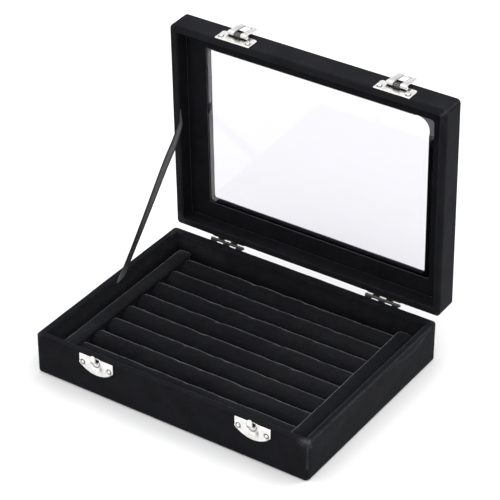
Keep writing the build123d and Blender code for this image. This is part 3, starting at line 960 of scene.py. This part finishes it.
def pressed_piece(name, node, from_drawn, change):
    """A stamping with soft edges, in the shape of its CAD node. The change gives, for a point of the shut
    latch in millimetres, how far the sheet is pushed out and up there, and how dark its painted shade is."""
    piece = bpy.data.objects.new(name, cad[node].data.copy())
    bpy.context.scene.collection.objects.link(piece)
    piece.matrix_world = cad[node].matrix_world.copy()
    piece.data.transform(piece.matrix_world)
    piece.matrix_world = Matrix.Identity(4)
    fine = piece.modifiers.new("fine", "REMESH")
    fine.mode = "VOXEL"
    fine.voxel_size = 0.00024
    soft = piece.modifiers.new("soft", "SMOOTH")
    soft.factor = 0.5
    soft.iterations = 3
    apply_modifiers(piece)
    mesh = piece.data
    mesh.transform(from_drawn.inverted())
    outward(mesh)
    normals = [vertex.normal.copy() for vertex in mesh.vertices]
    painted_shade_and_dark_barrel = []
    for vertex, normal in zip(mesh.vertices, normals):
        push, rise, dark = change(vertex.co * 1000, normal)
        vertex.co.y -= push / 1000
        vertex.co.z += rise / 1000
        painted_shade_and_dark_barrel.append(dark)
    mesh.attributes.new("painted_shade_and_dark_barrel", "FLOAT", "POINT").data.foreach_set("value", painted_shade_and_dark_barrel)
    mesh.transform(from_drawn)
    mesh.polygons.foreach_set("use_smooth", [True] * len(mesh.polygons))
    mesh.materials.clear()
    mesh.materials.append(nickel)
    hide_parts(node)
    return piece


def round_nail(at, middle_x, nail_z):
    """The dish that a nail head sits in: how far it pushes the sheet, and its painted shade: a dark ring in
    the gap round the head and a painted shadow beside it.
    """
    push, dark = 0.0, 0.0
    for side in (-1, 1):
        nail_x = middle_x + side * (latch_width / 2 - nail_inset)
        away = ((at.x - nail_x) ** 2 + (at.z - nail_z) ** 2) ** 0.5
        push -= 0.28 * exp(-(((away - 1.25) / 0.45) ** 2))
        push += 0.18 * exp(-(((away - 2.25) / 0.35) ** 2))
        # Painted shade in the gap round the head, and a painted shadow below and to the right of it.
        dark = max(dark, exp(-(((away - 1.45) / 0.42) ** 2)))
        nail_shadow_away = ((at.x - nail_x - 1.2) ** 2 + (at.z - nail_z + 0.9) ** 2) ** 0.5
        dark = max(dark, 0.9 * exp(-((nail_shadow_away / 0.9) ** 2)))
    return push, dark


def keeper_shape(middle_x):
    """Dished nails, a raised border along the round lower edge, a ring round the tongue, and painted shade
    where the tongue leaves the sheet, along the tongue's edges and back, and in the gap at its left; and a
    painted shadow on the sheet to the right of the tongue."""

    def change(at, normal):
        out = front_y - at.y
        if out > 1.1:
            edge = max(0.0, abs(at.x - middle_x) - 1.3)
            rise = 0.14 * max(0.0, at.z - 26.0)
            # Painted shade along the tongue's side edges and on its back, which faces the sheet.
            return 0.0, rise, min(1.0, 0.5 * edge) + (0.5 if normal.y > 0.3 else 0.0)
        push, dark = round_nail(at, middle_x, keeper_nail_z)
        if out < 0.4:
            return 0.0, 0.0, dark
        across = (at.x - middle_x) / (latch_width / 2)
        low_edge = 15.5 + 5.3 * across * across
        push += 0.22 * exp(-(((at.z - low_edge - 0.9) / 0.45) ** 2))
        push -= 0.12 * exp(-(((at.z - low_edge - 2.1) / 0.6) ** 2))
        ring = ((at.x - middle_x) / 3.9) ** 2 + ((at.z - 25.6) / 4.6) ** 2
        push -= 0.25 * exp(-(((ring - 1.0) / 0.3) ** 2))
        # Painted shade where the tongue leaves the sheet and in the gap at its upper left, and a painted
        # shadow to its right.
        dark = max(dark, 0.8 * exp(-(((ring - 0.62) / 0.22) ** 2)) * (at.z < 26.5))
        dark = max(dark, 0.9 * exp(-(((ring - 1.0) / 0.25) ** 2)) * (at.x < middle_x) * (at.z > 23.0))
        dark = max(dark, 0.7 * exp(-(((at.x - middle_x - 3.6) / 1.3) ** 2 + ((at.z - 21.6) / 2.0) ** 2)))
        rise = 0.6 * exp(-(((at.x - middle_x) / 3.2) ** 4)) * min(1.0, max(0.0, (at.z - 26.6) / 0.6))
        return push, rise, dark

    return change


def lid_plate_shape(middle_x):
    """Dished nails, and painted shade round the knuckle and along the two slots."""

    def change(at, normal):
        out = front_y - at.y
        push, dark = round_nail(at, middle_x, plate_nail_z)
        # Painted shade in a band under the knuckle.
        under = exp(-(((at.z - 35.4) / 2.8) ** 2)) * (abs(at.x - middle_x) < 7.0)
        dark = max(dark, 0.97 * under)
        if 0.4 < out < 1.1:
            return push, 0.0, dark
        return 0.0, 0.0, dark

    return change


def hasp_shape(middle_x):
    """A long low hollow pressed in each arm, and painted shade at the window's edge and inside the curl,
    whose bore is a little widened by wear."""

    def change(at, normal):
        back, up = at.y - hasp_pivot.y * 1000, at.z - hasp_pivot.z * 1000
        off_pin = (back * back + up * up) ** 0.5
        # The bore is widened a little, with painted shade inside the curl.
        if off_pin < 0.85:
            return -0.07 * back / off_pin, 0.07 * up / off_pin, 0.8
        away = abs(at.x - middle_x)
        # Painted shade along the window's edge.
        inside = exp(-(((away - 2.5) / 0.4) ** 2)) * (23.9 < at.z < 34.5)
        border = 0.0
        if at.z < 33.5 and normal.y > 0.5:
            border = 0.14 * exp(-(((away - 5.0) / 0.5) ** 2))
        return border, 0.0, 0.7 * inside

    return change


for side, middle_x in latch_middles.items():
    as_drawn = Matrix.Identity(4)
    keeper = pressed_piece(f"pressed_keeper_{side}", f"keeper_{side}", as_drawn, keeper_shape(middle_x))
    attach(keeper, "base")
    plate = pressed_piece(f"pressed_plate_{side}", f"lid_plate_{side}", open_lid, lid_plate_shape(middle_x))
    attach(plate, "lid")
    folded_back = open_lid @ shut_hasp.inverted()
    hasp = pressed_piece(f"pressed_hasp_{side}", f"hasp_{side}", folded_back, hasp_shape(middle_x))
    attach(hasp, f"{side}_hasp")

# ---- Ribbon stay ----
# Narrow grey satin ribbon, glued inside the left walls. It is tight when the lid is open, with a slight
# twist.

ribbon_low = Vector((-94.6, 7.5, 27.0))
ribbon_high = Vector((-94.6, 76.6, 111.3))
ribbon_glued = 5.0
ribbon_width = 6.0
ribbon_thick = 0.35
ribbon_rows = 110
ribbon_ring = [(-0.5, 0), (-0.48, 0.5), (-0.25, 0.56), (0, 0.6), (0.25, 0.56), (0.48, 0.5)]
ribbon_ring += [(0.5, 0), (0.48, -0.5), (0.25, -0.5), (0, -0.5), (-0.25, -0.5), (-0.48, -0.5)]


def satin():
    """Woven satin: fine ribs across it and a soft gloss along it."""
    material, tree, shader = start_finish("grey_satin")
    place = add_node(tree, "ShaderNodeTexCoord").outputs["Object"]
    weave = {"Vector": place, "Scale": 700.0, "Distortion": 0.6, "Detail": 1.0}
    ribs = add_node(tree, "ShaderNodeTexWave", {"bands_direction": "Z"}, **weave).outputs["Fac"]
    folds = grain(tree, 45, (1, 1, 0.6), 2)
    # The shade mask paints shade along the ribbon's edges and over its lower part, and is lifted at its lower
    # end as a painted highlight.
    shade = add_node(tree, "ShaderNodeAttribute", {"attribute_name": "shade"}).outputs["Fac"]
    tone = two_tone(tree, folds, (0.11, 0.11, 0.115), (0.19, 0.19, 0.197))
    tone = two_tone(tree, ribs, tone, (0.24, 0.24, 0.245), 0.4, 1.2)
    tree.links.new(two_tone(tree, shade, tone, (0.004, 0.004, 0.005), 0.0, 1.0), shader.inputs["Base Color"])
    tree.links.new(between(tree, folds, 0.5, 0.7), shader.inputs["Roughness"])
    shader.inputs["Specular IOR Level"].default_value = 0.15
    shader.inputs["Sheen Weight"].default_value = 0.05
    shader.inputs["Sheen Roughness"].default_value = 0.3
    raise_grain(tree, shader, ribs, 0.0001, 0.5)
    return material


def ribbon_loops():
    """Loops along the ribbon, from its lower glued end to its upper one, with a slight twist between. It is
    cut askew at both ends, and bends a little below the upper one."""
    run = ribbon_high - ribbon_low
    along = run.normalized()
    inward = Vector((1.0, 0.0, 0.0))
    edgeways = along.cross(inward)
    total = run.length + 2 * ribbon_glued
    loops = []
    for share in np.linspace(0, 1, ribbon_rows):
        at = share * total - ribbon_glued
        loose = max(0.0, sin(pi * min(1.0, max(0.0, at / run.length))))
        twist = radians(24) * min(1.0, 1.6 * loose) * (1.35 * share - 0.35)
        out = 0.9 * loose ** 0.5
        from_top, from_low = (1.0 - share) * total, share * total
        cut_top = 0.92 * max(0.0, 1.0 - from_top / 11.0) ** 1.3
        cut_low = 0.8 * max(0.0, 1.0 - from_low / 6.0)
        sag = 1.5 * exp(-(((at - run.length + 14.0) / 13.0) ** 2)) - 0.8 * max(0.0, at - run.length + 3.0)
        centre = ribbon_low + along * at + inward * out + edgeways * sag
        flat = edgeways * cos(twist) + inward * sin(twist)
        thick = inward * cos(twist) - edgeways * sin(twist)
        ring = []
        for across, through in ribbon_ring:
            place = -0.5 + 0.6 * cut_top + (across + 0.5) * (1.0 - cut_top - cut_low)
            ring.append(centre + flat * place * ribbon_width + thick * through * ribbon_thick)
        loops.append(np.array([tuple(point) for point in ring]))
    return loops


points, faces = loft(ribbon_loops(), False)
ribbon = millimetre_mesh("satin_ribbon", points, faces, satin())
outward(ribbon.data)
# Painted shade along the edges and over the lower part, and a painted highlight at the lower end.
shades = []
for row in range(ribbon_rows):
    lower = max(0.0, 0.95 - row / 70)
    painted_highlight_end = exp(-((row / 9) ** 2))
    for across, _ in ribbon_ring:
        edge = max(0.0, abs(across) - 0.12) / 0.36
        shades.append(min(1.0, 0.95 * edge + 0.85 * lower) * (1.0 - painted_highlight_end))
ribbon.data.attributes.new("shade", "FLOAT", "POINT").data.foreach_set("value", shades)
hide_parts("ribbon_stay")
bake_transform(ribbon)
